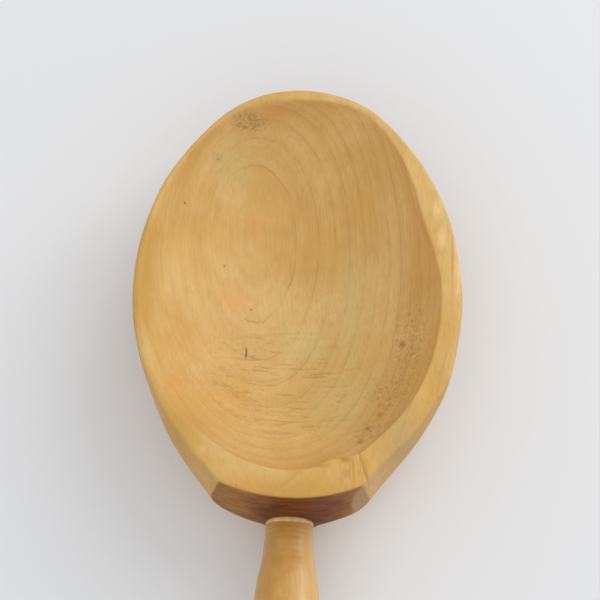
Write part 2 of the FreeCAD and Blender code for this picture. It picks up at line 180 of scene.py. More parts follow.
def cap_grid(ring, numbers, next_number, corner):
    """Closes a ring with an even four-sided grid: new points, and quads as point numbers."""
    ring, numbers = np.roll(ring, -corner, axis=0), np.roll(numbers, -corner)
    n = len(ring) // 4
    u = np.linspace(0, 1, n + 1)
    bottom, right = ring[:n + 1], ring[n:2 * n + 1]
    top, left = ring[2 * n:3 * n + 1][::-1], np.vstack([ring[3 * n:], ring[:1]])[::-1]
    across, up = u[None, :, None], u[:, None, None]
    grid = ((1 - up) * bottom[None] + up * top[None]
            + (1 - across) * left[:, None] + across * right[:, None]
            - (1 - across) * (1 - up) * bottom[0] - across * (1 - up) * bottom[-1]
            - (1 - across) * up * top[0] - across * up * top[-1])
    index = np.full((n + 1, n + 1), -1)
    index[0], index[:, n] = numbers[:n + 1], numbers[n:2 * n + 1]
    index[n], index[:, 0] = numbers[2 * n:3 * n + 1][::-1], np.append(numbers[3 * n:], numbers[0])[::-1]
    index[1:n, 1:n] = next_number + np.arange((n - 1) ** 2).reshape(n - 1, n - 1)
    quads = np.stack([index[:-1, :-1], index[:-1, 1:], index[1:, 1:], index[1:, :-1]], -1)
    return grid[1:n, 1:n].reshape(-1, 3), quads.reshape(-1, 4)


def closed_skin(rings, first_corner, last_corner):
    """A closed all-quad skin over a stack of rings, with a grid cap at each end."""
    count = len(rings[0])
    points = np.vstack(rings)
    numbers = np.arange(len(points)).reshape(len(rings), count)
    quads = [loop_quads(a, b) for a, b in zip(numbers, numbers[1:])]
    for ring, corner in ((0, first_corner), (-1, last_corner)):
        extra, faces = cap_grid(rings[ring], numbers[ring], len(points), corner)
        points = np.vstack([points, extra])
        quads.append(faces)
    return points, np.vstack(quads)


def mesh_piece(name, points, faces, zones=None):
    """A smooth-shaded object from points in design millimetres. Zones are numbers, one for each point."""
    mesh = bpy.data.meshes.new(name)
    mesh.from_pydata((np.asarray(points) * MM).tolist(), [], np.asarray(faces).tolist())
    for zone, values in (zones or {}).items():
        mesh.attributes.new(zone, "FLOAT", "POINT").data.foreach_set("value", values.astype(np.float32))
    edit = bmesh.new()
    edit.from_mesh(mesh)
    bmesh.ops.recalc_face_normals(edit, faces=edit.faces)
    edit.to_mesh(mesh)
    edit.free()
    mesh.shade_smooth()
    piece = bpy.data.objects.new(name, mesh)
    bpy.context.scene.collection.objects.link(piece)
    return piece


def push(points, faces, amount):
    """Moves each point along the skin's normal, by its own amount."""
    corners = points[faces]
    normals = np.cross(corners[:, 2] - corners[:, 0], corners[:, 3] - corners[:, 1])
    total = np.zeros_like(points)
    for corner in range(4):
        np.add.at(total, faces[:, corner], normals)
    total /= np.linalg.norm(total, axis=1, keepdims=True)
    return points + total * amount[:, None]


def cut_away(piece, points, faces):
    """Cuts a closed shape out of a piece."""
    cutter = mesh_piece("cutter", points, faces)
    cut = piece.modifiers.new("cut", "BOOLEAN")
    cut.operation, cut.solver, cut.object = "DIFFERENCE", "EXACT", cutter
    graph = bpy.context.evaluated_depsgraph_get()
    mesh = bpy.data.meshes.new_from_object(piece.evaluated_get(graph), preserve_all_data_layers=True,
                                           depsgraph=graph)
    piece.modifiers.remove(cut)
    edit = bmesh.new()
    edit.from_mesh(mesh)
    bmesh.ops.remove_doubles(edit, verts=edit.verts, dist=SLIVER * MM)
    bmesh.ops.dissolve_degenerate(edit, edges=edit.edges, dist=SLIVER * MM)
    edit.to_mesh(mesh)
    edit.free()
    piece.data = mesh
    mesh.name = piece.name
    bpy.data.objects.remove(cutter)
    mesh.shade_smooth()


# ---------------------------------------------------------------- the bowl

def sawn_end(x, height):
    """How far towards the handle the bowl reaches, as Y, at a place across and at a height."""
    bulge = np.sqrt(np.maximum(SAW_RADIUS**2 - x**2, 0))
    return (height * math.sin(HANDLE_RISE) + SAW_RADIUS - SAW_REACH - bulge) / math.cos(HANDLE_RISE)


def side_outline(level):
    """The right side of one level, from the tip to the handle end: three arcs and a flat."""
    _, half, tip_reach, tip_radius, aft_radius, flat_angle, end_reach = level
    lead, tip_y = half - tip_radius, tip_reach - tip_radius
    fore_radius = tip_radius + (lead**2 + tip_y**2) / (2 * lead)
    fore_x = half - fore_radius
    joint, flat = math.atan2(tip_y, -fore_x), math.radians(flat_angle)
    curve = np.vstack([
        arc((0, tip_y), tip_radius, math.pi / 2, joint),
        arc((fore_x, 0), fore_radius, joint, 0)[1:],
        arc((half - aft_radius, 0), aft_radius, 0, -flat)[1:],
    ])
    x, y = curve[-1]
    flat_end = (x - (y + end_reach) * math.tan(flat), -end_reach)
    return np.vstack([curve, along(np.array([(x, y), flat_end]), count=120)[1:]])


def level_ring(level):
    """All round the bowl at one level, tip first and clockwise from above."""
    height, reach = level[HEIGHT], level[END_REACH]
    side = side_outline(level)
    past = side[:, 1] - np.maximum(-reach, sawn_end(side[:, 0], height))
    last = int(np.argmax(past <= 0))
    share = past[last - 1] / (past[last - 1] - past[last])
    corner = side[last - 1] + (side[last] - side[last - 1]) * share
    side = np.vstack([side[:last], corner])
    # The corner with the sawn end is worn a little round, and well rounded low down.
    wear = CORNER_WEAR + LOW_WEAR * float(smooth_step((LOW_CORNER - height) / LOW_FADE))
    side = along(side, np.linspace(0, run_length(side) - wear, 400))
    x = np.linspace(corner[0] - wear, 0, 80)
    end = np.stack([x, np.maximum(-reach, sawn_end(x, height))], -1)
    t = np.linspace(0, 1, 21)[:, None]
    turn = (1 - t) ** 2 * side[-1] + 2 * t * (1 - t) * corner + t**2 * end[0]
    side, end = np.vstack([side, turn[1:11]]), np.vstack([turn[10:], end[1:]])
    half = np.vstack([along(side, spread(run_length(side), SIDE, False, True))[:-1],
                      along(end, spread(run_length(end), END // 2, True, False, closing=1.5))])
    ring = np.vstack([half, (half * (-1, 1))[-2:0:-1]])
    direction = np.arctan2(ring[:, 1], ring[:, 0])
    outward = np.stack([np.cos(direction), np.sin(direction)], -1)
    ring += outward * strays(OUTSIDE_STRAYS, np.degrees(direction))[:, None]
    return np.column_stack([ring, np.full(ROUND, height)])


def side_knots():
    """How far up the hull's side each of LEVELS lies."""
    rise, widening = np.diff(LEVELS[:, HEIGHT]), np.diff(LEVELS[:, HALF_WIDTH])
    return np.concatenate([[0], np.cumsum(np.hypot(rise, widening))])


def station_at(height):
    """How far up the hull's side a height is reached."""
    knots = side_knots()
    fine = np.linspace(0, knots[-1], 800)
    return np.interp(height, smooth_through(fine, knots, LEVELS[:, HEIGHT]), fine)


def hull_levels(stations):
    """The hull's levels at places up its side."""
    knots = side_knots()
    return np.stack([smooth_through(stations, knots, column) for column in LEVELS.T], -1)


def level_at(height):
    """The hull's level at one height near its brim."""
    return hull_levels(np.array([station_at(height)]))[0]


def hollow_wall(direction, height):
    """Points of the hollow's wall in the given directions from its centre, at the given heights."""
    depth = (HOLLOW_CENTRE[2] - height) / HOLLOW_SIZE[2]
    share = np.sqrt(np.maximum(1 - depth**2, 0))
    x, y = np.cos(direction) / HOLLOW_SIZE[0], np.sin(direction) / HOLLOW_SIZE[1]
    reach = share / np.hypot(x, y)
    fade = bump(BRIM - height, 0, MOUTH_DEPTH)
    reach = reach + strays(MOUTH_STRAYS, np.degrees(direction)) * fade
    flat = np.stack([np.cos(direction) * reach, np.sin(direction) * reach], -1) + HOLLOW_CENTRE[:2]
    return np.column_stack([flat, height * np.ones(len(direction))])


def edge_round(outer):
    """How wide and how tall the hollow's edge is rounded: crisply, but softly where the left is worn."""
    crisp, worn_wide, worn_tall = 0.9, 5.0, 12.0
    left = smooth_step(-outer[:, 0] / 44) * smooth_step((outer[:, 1] + 92) / 40)
    return crisp + worn_wide * left, crisp + worn_tall * left


def rim_drop(points, from_edge):
    """How far the brim is cut or worn down below its own plane."""
    x, y = points[:, 0], points[:, 1]
    right = x > 0
    # A bevel runs along the outer edge beside the middle of the right side.
    bevel_wide, bevel_slope = 4.6, 0.42
    bevel = right * smooth_step((42 - y) / 30) * smooth_step((y + 42) / 26)
    drop = bevel * np.clip(bevel_wide - from_edge, 0, None) * bevel_slope
    # The left side's outer edge is worn.
    worn, worn_wide = 0.35, 2.0
    drop += smooth_step((-x - 20) / 40) * worn * np.exp(-from_edge / worn_wide)
    # A knife cut crosses the brim beside the right corner, and the wood slopes down to it.
    cut_turn, groove, slope, slope_wide = math.radians(18), 0.6, 0.8, 7.0
    from_cut = (x - 31.6) * math.cos(cut_turn) + (y + 78.5) * math.sin(cut_turn)
    by_corner = right * bump(y, -87, 11)
    sloping = slope * (from_cut < 0) * np.exp(from_cut / slope_wide)
    drop += by_corner * (groove * bump(from_cut, 0, 1.0) + sloping)
    return drop


def bowl_rings():
    """Every ring of the bowl's skin, sole to hollow's floor, and each one's shares of hollow and brim."""
    widest_share = 0.75                     # of the room on the brim that the hollow's rounded edge may take
    floor_edge = math.radians(24)           # from straight down, where the floor's grid takes over
    rings, zones = [], []
    for level in hull_levels(np.linspace(0, station_at(BRIM - RIM_OUTER_ROUND), WALL)):
        rings.append(level_ring(level))
        zones.append((0, 0))
    brim = level_ring(level_at(BRIM))
    direction = np.arctan2(brim[:, 1] - HOLLOW_CENTRE[1], brim[:, 0] - HOLLOW_CENTRE[0])
    inward = -np.stack([np.cos(direction), np.sin(direction)], -1)
    for angle in np.linspace(0, math.pi / 2, OUTER_EDGE + 1)[1:]:
        height = BRIM - RIM_OUTER_ROUND * (1 - math.sin(angle))
        ring = level_ring(level_at(height))
        ring[:, :2] += inward * RIM_OUTER_ROUND * (1 - math.cos(angle))
        rings.append(ring)
        zones.append((0, math.sin(angle)))
    wide, tall = edge_round(brim)
    brim_edge = rings[-1]
    edge = hollow_wall(direction, np.full(ROUND, BRIM))
    room = np.linalg.norm((edge - brim_edge)[:, :2], axis=1)
    wide = np.minimum(wide, widest_share * room)
    edge[:, :2] -= inward * wide[:, None]
    for share in np.linspace(0, 1, ACROSS + 1)[1:]:
        rings.append(brim_edge * (1 - share) + edge * share)
        zones.append((0, 1))
    for angle in np.linspace(math.pi / 2, 0, INNER_EDGE + 1)[1:]:
        ring = hollow_wall(direction, BRIM - tall * (1 - math.sin(angle)))
        ring[:, :2] -= inward * (wide * (1 - math.cos(angle)))[:, None]
        rings.append(ring)
        zones.append((math.cos(angle), math.sin(angle)))
    # Down the wall the points even out round the hollow, so that its floor closes in a regular grid.
    turn = np.unwrap(direction)
    even = turn[0] - np.arange(ROUND) * 2 * math.pi / ROUND
    start = np.arccos((HOLLOW_CENTRE[2] - rings[-1][:, 2]) / HOLLOW_SIZE[2])
    for share in np.linspace(0, 1, DOWN + 1)[1:]:
        polar = start * (1 - share) + floor_edge * share
        mix = smooth_step(share)
        height = HOLLOW_CENTRE[2] - HOLLOW_SIZE[2] * np.cos(polar)
        rings.append(hollow_wall(turn * (1 - mix) + even * mix, height))
        zones.append((1, 0))
    return rings, zones


def make_bowl():
    rings, zones = bowl_rings()
    edge = rings[WALL]
    for number, ring in enumerate(rings):
        from_edge = np.linalg.norm(ring[:, :2] - edge[:, :2], axis=1) * (number > WALL)
        ring[:, 2] -= rim_drop(ring, from_edge) * smooth_step((ring[:, 2] - 34) / 27)
    points, faces = closed_skin(rings, PATCH, PATCH)
    added = len(points) - len(rings) * ROUND
    hollow, brim = (np.append(np.repeat(values, ROUND), np.zeros(added)) for values in zip(*zones))
    # The floor of the hollow: its grid, the last points added, takes the ellipsoid's depth.
    floor = np.arange(len(points) - added // 2, len(points))
    across = (points[floor, :2] - HOLLOW_CENTRE[:2]) / HOLLOW_SIZE[:2]
    points[floor, 2] = HOLLOW_CENTRE[2] - HOLLOW_SIZE[2] * np.sqrt(1 - (across**2).sum(1))
    hollow[floor] = 1
    # The sawn face: the points across the end, as far as they lie on the saw's cut and below the brim.
    around = np.append(np.tile(np.arange(ROUND), len(rings)), np.full(added, -1))
    sawn = smooth_step((around - SIDE + 1) / 3) * smooth_step((SIDE + END + 1 - around) / 3)
    behind_saw = points[:, 1] - sawn_end(points[:, 0], points[:, 2])
    sawn *= smooth_step((2.2 - behind_saw) / 1.2) * (hollow == 0) * smooth_step((0.75 - brim) / 0.3)
    # The knife left the skin a little uneven, most of all low down outside. The sole stays flat.
    outside = (1 - hollow) * (1 - brim)
    uneven = ripple(points, 50, 0.12, seed=3) + ripple(points, 17, 0.02, seed=4)
    uneven += ripple(points, 24, 0.13, seed=6) * outside * smooth_step((44 - points[:, 2]) / 25)
    points = push(points, faces, uneven * smooth_step(points[:, 2] / 3))
    bowl = mesh_piece("carved_bowl", points, faces, {"hollow": hollow, "brim": brim, "sawn": sawn})
    bore_socket(bowl)
    return bowl


def handle_place():
    """Turns the handle's own frame, shoulder at the origin and +Z along the handle, into the bowl's."""
    reach = (SAW_REACH + GLUE_LINE - SOCKET_HEIGHT * math.sin(HANDLE_RISE)) / math.cos(HANDLE_RISE)
    turn = Matrix.Rotation(math.pi / 2 - HANDLE_RISE, 4, "X")
    return Matrix.Translation((0, -reach, SOCKET_HEIGHT)) @ turn


def placed(points):
    """Points of the handle's own frame, in the bowl's."""
    place = np.array(handle_place())
    return np.asarray(points) @ place[:3, :3].T + place[:3, 3]


def lathe(profile, count):
    """Rings of a turned shape from its half section, as (radius, distance along) points."""
    angle = -np.arange(count) * 2 * math.pi / count
    return [np.column_stack([radius * np.cos(angle), radius * np.sin(angle), np.full(count, distance)])
            for radius, distance in profile]


def bore_socket(bowl):
    """The blind hole for the handle's tenon."""
    count, run_out = 64, 6.0                # the cutter runs out past the sawn end
    rings = lathe([(SOCKET_RADIUS, -SOCKET_DEPTH), (SOCKET_RADIUS, run_out)], count)
    points, faces = closed_skin(rings, count // 8, count // 8)
    cut_away(bowl, placed(points), faces)


# ---------------------------------------------------------------- the handle

def handle_profile():
    """Half the turned handle's section, tenon's end to butt: (radius, distance from the shoulder)."""
    tenon, tenon_length, chamfer = 8.0, 32.0, 1.0
    shoulder, edge, taper = SHOULDER_FLAT, SHOULDER_EDGE, math.radians(4.0)
    cove, grip, station, crown = 45.0, 16.2, 50.0, 150.0
    butt, butt_round, length = 13.8, 10.0, 120.0
    out = np.array([math.cos(taper), -math.sin(taper)])
    forth = np.array([math.sin(taper), math.cos(taper)])
    edge_centre = np.array([shoulder, edge])
    neck_start = edge_centre + out * edge
    crown_centre = np.array([grip - crown, station])
    butt_centre = np.array([butt - butt_round, length - butt_round])
    run = neck_start + out * cove - crown_centre
    slope = run @ forth
    neck_end = neck_start + forth * (-slope - math.sqrt(slope**2 - run @ run + (crown + cove) ** 2))
    cove_centre = neck_end + out * cove
    to_cove = cove_centre - crown_centre
    between = butt_centre - crown_centre
    lean = math.atan2(between[1], between[0]) - math.acos((crown - butt_round) / np.linalg.norm(between))
    bend = math.atan2(to_cove[1], to_cove[0])
    body = np.vstack([
        arc(edge_centre, edge, -math.pi / 2, -taper, 9),
        neck_end[None],
        arc(cove_centre, cove, math.pi - taper, math.pi + bend, 60)[1:],
        arc(crown_centre, crown, bend, lean, 160)[1:],
        arc(butt_centre, butt_round, lean, math.pi / 2, 40),
    ])
    body = along(body, spread(run_length(body), 150, True, False, closing=5.0, over=3.0))
    start = np.array([(tenon - chamfer, -tenon_length), (tenon, chamfer - tenon_length)])
    tenon_side = along(np.array([start[1], (tenon, 0)]), count=20)
    face = along(np.array([(tenon, 0), (shoulder, 0)]), count=3)[1:-1]
    return np.vstack([start[:1], tenon_side, face, body])


def make_handle():
    profile = handle_profile()
    count = 128
    points, faces = closed_skin(lathe(profile, count), 0, 0)
    on_body = smooth_step((points[:, 2] - 1.5) / 4)
    radius = np.hypot(points[:, 0], points[:, 1])
    # Turned by hand: faint tool rings, a grip that isn't quite round, and dents from use.
    rings = 0.035 * np.sin(points[:, 2] * 2.1 + 1.4 * np.sin(points[:, 2] * 0.23))
    oval = 0.12 * np.cos(2 * np.arctan2(points[:, 1], points[:, 0]) + points[:, 2] / 40)
    uneven = (rings + oval + ripple(points, 30, 0.09, seed=11)) * on_body * smooth_step(radius / 4)
    points = push(points, faces, uneven)
    handle = mesh_piece("turned_handle", placed(points), faces)
    cut_kerf(handle)
    return handle


def cut_kerf(handle):
    """The split in the tenon's end that takes the wedge."""
    thick, thin, low, high, wide = 1.7, 0.4, -32.0, -12.0, 9.0
    run_on = 2.0                            # the cutter runs on past the tenon's end with the same slope
    mouth = thick + (thick - thin) / (high - low) * run_on
    corners = [(-mouth, low - run_on), (mouth, low - run_on), (thin, high), (-thin, high)]
    points = [(x, y, z) for x in (-wide, wide) for y, z in corners]
    faces = [(0, 1, 2, 3), (7, 6, 5, 4), (0, 4, 5, 1), (1, 5, 6, 2), (2, 6, 7, 3), (3, 7, 4, 0)]
    cut_away(handle, placed(points), faces)


# ---------------------------------------------------------------- the glue

def make_glue():
    """The bead squeezed out round the shoulder, thickest on top. The film in the joint is left out."""
    around, section = 160, 16
    shoulder = SHOULDER_FLAT + SHOULDER_EDGE
    angle = -np.arange(around) * 2 * math.pi / around
    circle = np.column_stack([np.cos(angle), np.sin(angle)])
    rng = np.random.default_rng(21)
    lumps = sum(rng.uniform(0.5, 1.0) * np.cos(k * angle + rng.uniform(0, 6.3)) / k for k in range(2, 12))
    top = bump(np.degrees(angle) % 360 - 90, 0, 60)
    thick = np.clip(0.6 + 0.06 * lumps + 0.75 * top, 0.35, 1.5)
    rings = []
    for turn in np.arange(section) * 2 * math.pi / section:
        radius = shoulder - 0.5 + thick * np.cos(turn)
        sag = SAW_RADIUS - np.sqrt(SAW_RADIUS**2 - (radius * circle[:, 0]) ** 2)
        up_neck = thick * 1.3 * np.sin(turn) + 0.15 - sag * (1 - 0.4 * np.sin(turn))
        rings.append(np.column_stack([circle * radius[:, None], np.maximum(up_neck, -sag - 0.45)]))
    points = np.vstack(rings)
    numbers = np.arange(len(points)).reshape(section, around)
    faces = np.vstack([loop_quads(a, b) for a, b in zip(numbers, np.roll(numbers, -1, axis=0))])
    points += ripple(points, 3.5, 0.03, seed=8)[:, None]
    points, faces = add_crumbs(points, faces, shoulder)
    return mesh_piece("glue_bead", placed(points), faces)


def add_crumbs(points, faces, shoulder):
    """Loose crumbs of dried glue on the bead, most of them on the right."""
    rng = np.random.default_rng(5)
    ring_count, count = 6, 12
    tilts = [math.pi * (i + 0.5) / ring_count for i in range(ring_count)]
    ball, quads = closed_skin(lathe([(math.sin(tilt), -math.cos(tilt)) for tilt in tilts], count), 0, 0)
    for degrees in (38, 47, 54, 31, 118, 150, 205, 290, 335):
        angle = math.radians(degrees + rng.uniform(-3, 3))
        size = rng.uniform(0.35, 0.62)
        crumb = ball * (1 + ripple(ball, 1.6, 0.16, seed=degrees))[:, None] * size
        centre = np.array([math.cos(angle), math.sin(angle), 0]) * (shoulder + 0.15)
        sag = SAW_RADIUS - math.sqrt(SAW_RADIUS**2 - centre[0] ** 2)
        centre[2] = 0.55 - sag * 0.5
        faces = np.vstack([faces, quads + len(points)])
        points = np.vstack([points, crumb + centre])
    return points, faces


# ---------------------------------------------------------------- materials

class Look:
    """A material's nodes, with a short word for each kind of step."""

    def __init__(self, name):
        self.material = bpy.data.materials.new(name)
        self.material.use_nodes = True
        self.nodes, self.links = self.material.node_tree.nodes, self.material.node_tree.links
        self.shader = self.nodes["Principled BSDF"]

    def feed(self, socket, value):
        if isinstance(value, bpy.types.NodeSocket):
            self.links.new(value, socket)
        elif value is not None:
            socket.default_value = value

    def math(self, operation, a, b=None, c=None):
        node = self.nodes.new("ShaderNodeMath")
        node.operation = operation
        for socket, value in zip(node.inputs, (a, b, c)):
            self.feed(socket, value)
        return node.outputs[0]

    def vector(self, operation, a, b=None):
        node = self.nodes.new("ShaderNodeVectorMath")
        node.operation = operation
        self.feed(node.inputs[0], a)
        self.feed(node.inputs[1], b)
        return node.outputs["Value" if operation in ("LENGTH", "DOT_PRODUCT") else "Vector"]

    def scaled(self, direction, by):
        node = self.nodes.new("ShaderNodeVectorMath")
        node.operation = "SCALE"
        self.feed(node.inputs[0], direction)
        self.feed(node.inputs["Scale"], by)
        return node.outputs["Vector"]

    def place(self):
        """The point's place in design millimetres."""
        node = self.nodes.new("ShaderNodeTexCoord")
        return self.vector("MULTIPLY", node.outputs["Object"], (1 / MM,) * 3)

    def facing(self, direction):
        """How squarely the surface faces along a direction, either way."""
        node = self.nodes.new("ShaderNodeNewGeometry")
        return self.math("ABSOLUTE", self.vector("DOT_PRODUCT", node.outputs["Normal"], direction))

    def noise(self, place, scale, detail=2.0, roughness=0.5):
        """Noise whose features are about 1 / scale millimetres, where scale is one number or three."""
        if not isinstance(scale, (int, float)):
            place, scale = self.vector("MULTIPLY", place, scale), 1.0
        node = self.nodes.new("ShaderNodeTexNoise")
        self.feed(node.inputs["Vector"], place)
        for socket, value in (("Scale", scale), ("Detail", detail), ("Roughness", roughness)):
            node.inputs[socket].default_value = value
        return node.outputs["Fac"]

    def span(self, value, low, high, out_low=0.0, out_high=1.0):
        """Maps low..high to out_low..out_high smoothly and stops at the ends."""
        node = self.nodes.new("ShaderNodeMapRange")
        node.interpolation_type = "SMOOTHSTEP"
        for socket, number in zip(node.inputs, (value, low, high, out_low, out_high)):
            self.feed(socket, number)
        return node.outputs["Result"]

    def ramp(self, value, *stops):
        """A grey, 0 to 1, for each value, from stops of (value, grey)."""
        node = self.nodes.new("ShaderNodeValToRGB")
        self.feed(node.inputs["Fac"], value)
        elements = node.color_ramp.elements
        while len(elements) < len(stops):
            elements.new(0.5)
        for element, (where, amount) in zip(elements, stops):
            element.position, element.color = where, (amount, amount, amount, 1)
        return node.outputs["Color"]

    def zone(self, name):
        """One of the mesh's own numbers for each point."""
        node = self.nodes.new("ShaderNodeAttribute")
        node.attribute_name = name
        return node.outputs["Fac"]

    def blend(self, share, a, b):
        """A colour between a, at a share of 0, and b, at 1."""
        node = self.nodes.new("ShaderNodeMix")
        node.data_type = "RGBA"
        self.feed(node.inputs["Factor"], share)
        self.feed(node.inputs["A"], a)
        self.feed(node.inputs["B"], b)
        return node.outputs["Result"]

    def tint(self, base, share, strength, *screen_colour):
        """The base, turned towards a screen colour by its share times a strength."""
        return self.blend(self.math("MULTIPLY", share, strength), base, colour(*screen_colour))

    def spot(self, place, centre, size, ragged, noise, core):
        """1 round a place and 0 outside an ellipsoid about it, with an edge that noise makes ragged."""
        offset = self.vector("MULTIPLY", self.vector("SUBTRACT", place, centre), tuple(1 / s for s in size))
        distance = self.math("MULTIPLY_ADD", noise, ragged, self.vector("LENGTH", offset))
        return self.span(distance, 1.0 + ragged * 0.5, core + ragged * 0.5)

    def bump(self, height, distance, strength):
        """A normal for relief about distance millimetres deep."""
        node = self.nodes.new("ShaderNodeBump")
        node.inputs["Strength"].default_value = strength
        node.inputs["Distance"].default_value = distance * MM
        self.feed(node.inputs["Height"], height)
        return node.outputs["Normal"]


def linear(channel):
    """A screen channel, 0 to 255, as the renderer's own (the sRGB curve)."""
    share = channel / 255
    return ((share + 0.055) / 1.055) ** 2.4 if channel > 10 else share / 12.92


def colour(red, green, blue):
    return linear(red), linear(green), linear(blue), 1


def wood_grain(look, place, pith, grain, spacing, first, wobble):
    """Growth rings about a pith line, and fibres along it.

    spacing and first are the rings' distance apart and the first one's radius, and wobble is how unevenly
    they grew. Returns the ring line, fine rings, broad bands, fibres and flecks.
    """
    grain, fine_spacing = tuple(grain), 1.7
    lengthwise = look.vector("DOT_PRODUCT", place, grain)
    # With its lengthwise part cut to a fifteenth, noise read at this place is drawn out along the grain.
    squeezed = look.vector("ADD", place, look.scaled(grain, look.math("MULTIPLY", lengthwise, -14 / 15)))
    away = look.vector("LENGTH", look.vector("CROSS_PRODUCT", look.vector("SUBTRACT", place, pith), grain))
    for scale, amount in ((0.035, 3.0), (0.16, 1.1), (0.6, 0.45)):
        stray = look.math("SUBTRACT", look.noise(squeezed, scale, detail=1.0), 0.5)
        away = look.math("MULTIPLY_ADD", stray, amount * wobble, away)
    part = look.math("FRACT", look.math("DIVIDE", look.math("SUBTRACT", away, first), spacing))
    line = look.ramp(part, (0.0, 0.5), (0.03, 0.0), (0.5, 0.0), (0.88, 0.14), (0.962, 0.4), (0.985, 1.0))
    fine = look.math("SINE", look.math("MULTIPLY", away, 2 * math.pi / fine_spacing))
    bands = look.noise(look.scaled((1.0, 0.0, 0.0), away), 0.9 / spacing, detail=2.0)
    fibres = look.noise(squeezed, 0.85, detail=4.0, roughness=0.62)
    flecks = look.span(look.noise(squeezed, 2.3, detail=1.0), 0.66, 0.78)
    return line, fine, bands, fibres, flecks


# The tree's middle ran under the bowl, along its length: where it crosses the widest part, how it tilts up
# and leans to the left towards the tip, the first ring that shows, and the rings' spacing.
PITH = (-36.0, 0.0, -65.0)
PITH_TILT, PITH_LEAN = math.radians(14.5), math.radians(6.5)
FIRST_RING, RING_SPACING = 81.5, 6.75

# Marks on the bowl: kind, how far to the right and towards the tip from the hollow's middle, as shares of
# its half width and half length, and the mark's own width and length in millimetres.
BOWL_MARKS = (
    ("warm", -0.30, 0.70, 13, 7),
    ("warm", -0.28, 0.42, 20, 22),
    ("warm", -0.42, 0.02, 30, 18),
    ("warm", -0.98, -0.15, 12, 22),
    ("warm", -0.78, -0.55, 26, 30),
    ("warm", -0.50, -0.55, 40, 12),
    ("brown", 0.55, 0.72, 60, 64),
    ("brown", 0.66, -0.55, 46, 74),
    ("brown", 0.85, 0.10, 30, 90),
    ("light", 0.00, -0.05, 56, 60),
    ("light", -0.85, 0.10, 24, 60),
    ("dull", -0.45, 0.72, 44, 40),
    ("dull", 0.36, -0.52, 60, 60),
    ("dull", 0.12, -0.22, 44, 40),
    ("dull", 0.40, -0.05, 34, 100),
    ("olive", -1.05, 0.00, 26, 130),
    ("olive", -0.75, -0.85, 40, 50),
    ("olive", -0.62, -1.06, 40, 40),
    ("amber", -0.02, -1.10, 130, 24),
    ("grey", 0.72, -0.84, 34, 64),
    # Painted light: a lighter strip on the outer bevel of the right brim, which faces the window.
    ("pale", 1.10, 0.14, 7, 74),
    ("knob", 0.985, 0.25, 9, 17),
    ("knob", 0.95, 0.405, 8, 17),
    # Greyer wood, with painted light, on the right facet beside the sawn end.
    ("grey_and_lit_facet", 0.60, -1.05, 30, 32),
    # Painted shade: a thin dark line along the inner edge of the right brim's bevel.
    ("line", 1.055, 0.13, 2.4, 46),
    ("mould", -0.37, 0.90, 30, 12),
    ("mould", -0.57, 0.72, 10, 6),
    ("torn", 0.80, -0.24, 26, 60),
    ("torn", 0.68, -0.52, 40, 36),
    ("torn", 0.55, -0.74, 34, 22),
    ("shade", 0.75, -0.24, 5, 7),
    ("shade", 0.60, -0.64, 5, 5),
    ("shade", 0.52, -0.72, 7, 5),
    ("shade", 0.47, -0.80, 7, 5),
    ("shade", 0.37, -0.93, 9, 5),
    # Painted shade: a dark hook in the notch at the hollow's edge by the handle end.
    ("line", 0.22, -0.965, 12, 4),
    ("stripes", 0.42, -0.99, 19, 19),
    ("speck", -0.32, -0.27, 1.6, 9.0),
    ("speck", -0.30, -0.02, 1.6, 1.4),
    ("speck", -0.78, 0.46, 1.6, 1.6),
    ("speck", -0.50, 0.20, 1.0, 2.6),
    ("speck", -0.33, -1.08, 1.2, 1.2),
)

# Kinds of mark that only change the wood's colour, in the order they are laid on: how strongly, and to what.
# The "pale" tint is painted light, and the "line" and "shade" tints are painted shade.
BOWL_TINTS = (
    ("warm", 0.34, (238, 168, 88)), ("brown", 0.28, (204, 152, 70)), ("light", 0.5, (238, 206, 140)),
    ("dull", 0.5, (218, 202, 138)), ("olive", 0.6, (196, 150, 64)), ("amber", 0.6, (204, 146, 56)),
    ("grey", 0.45, (178, 152, 108)), ("pale", 0.6, (250, 214, 152)), ("knob", 0.6, (248, 212, 146)),
    ("line", 0.35, (150, 106, 58)), ("shade", 0.55, (140, 100, 60)),
)


def on_hollow(across, lengthwise):
    """The point of the bowl's upper surface at these shares of the hollow's half width and half length."""
    depth = math.sqrt(max(0.0, 1 - across**2 - lengthwise**2))
    x, y = HOLLOW_CENTRE[:2] + HOLLOW_SIZE[:2] * (across, lengthwise)
    return x, y, min(HOLLOW_CENTRE[2] - HOLLOW_SIZE[2] * depth, BRIM)


def marks(look, place, kind, ragged, noise, core=0.3):
    """How much a point is marked by any of the bowl's marks of one kind."""
    total = None
    for found, across, lengthwise, wide, long in BOWL_MARKS:
        if found == kind:
            size = (wide / 2, long / 2, max(wide, long) / 2 + 2)
            mark = look.spot(place, on_hollow(across, lengthwise), size, ragged, noise, core)
            total = mark if total is None else look.math("MAXIMUM", total, mark)
    return total


def sawn_tone(look, place, blotch):
    """The sawn end, soaked dark in its middle and paler at its corners."""
    streaks = look.noise(place, (0.06, 0.3, 0.6), detail=3.0, roughness=0.6)
    edge = look.blend(look.span(streaks, 0.35, 0.65), colour(142, 92, 36), colour(166, 115, 60))
    heart = look.blend(look.span(streaks, 0.35, 0.65), colour(84, 32, 6), colour(120, 58, 16))
    tone = look.blend(look.spot(place, (4, -104, 44), (34, 24, 36), 0.6, blotch, 0.35), edge, heart)
    pale = look.spot(place, (39, -97, 42), (11, 15, 26), 0.2, blotch, 0.8)
    return look.blend(pale, tone, colour(176, 142, 100))


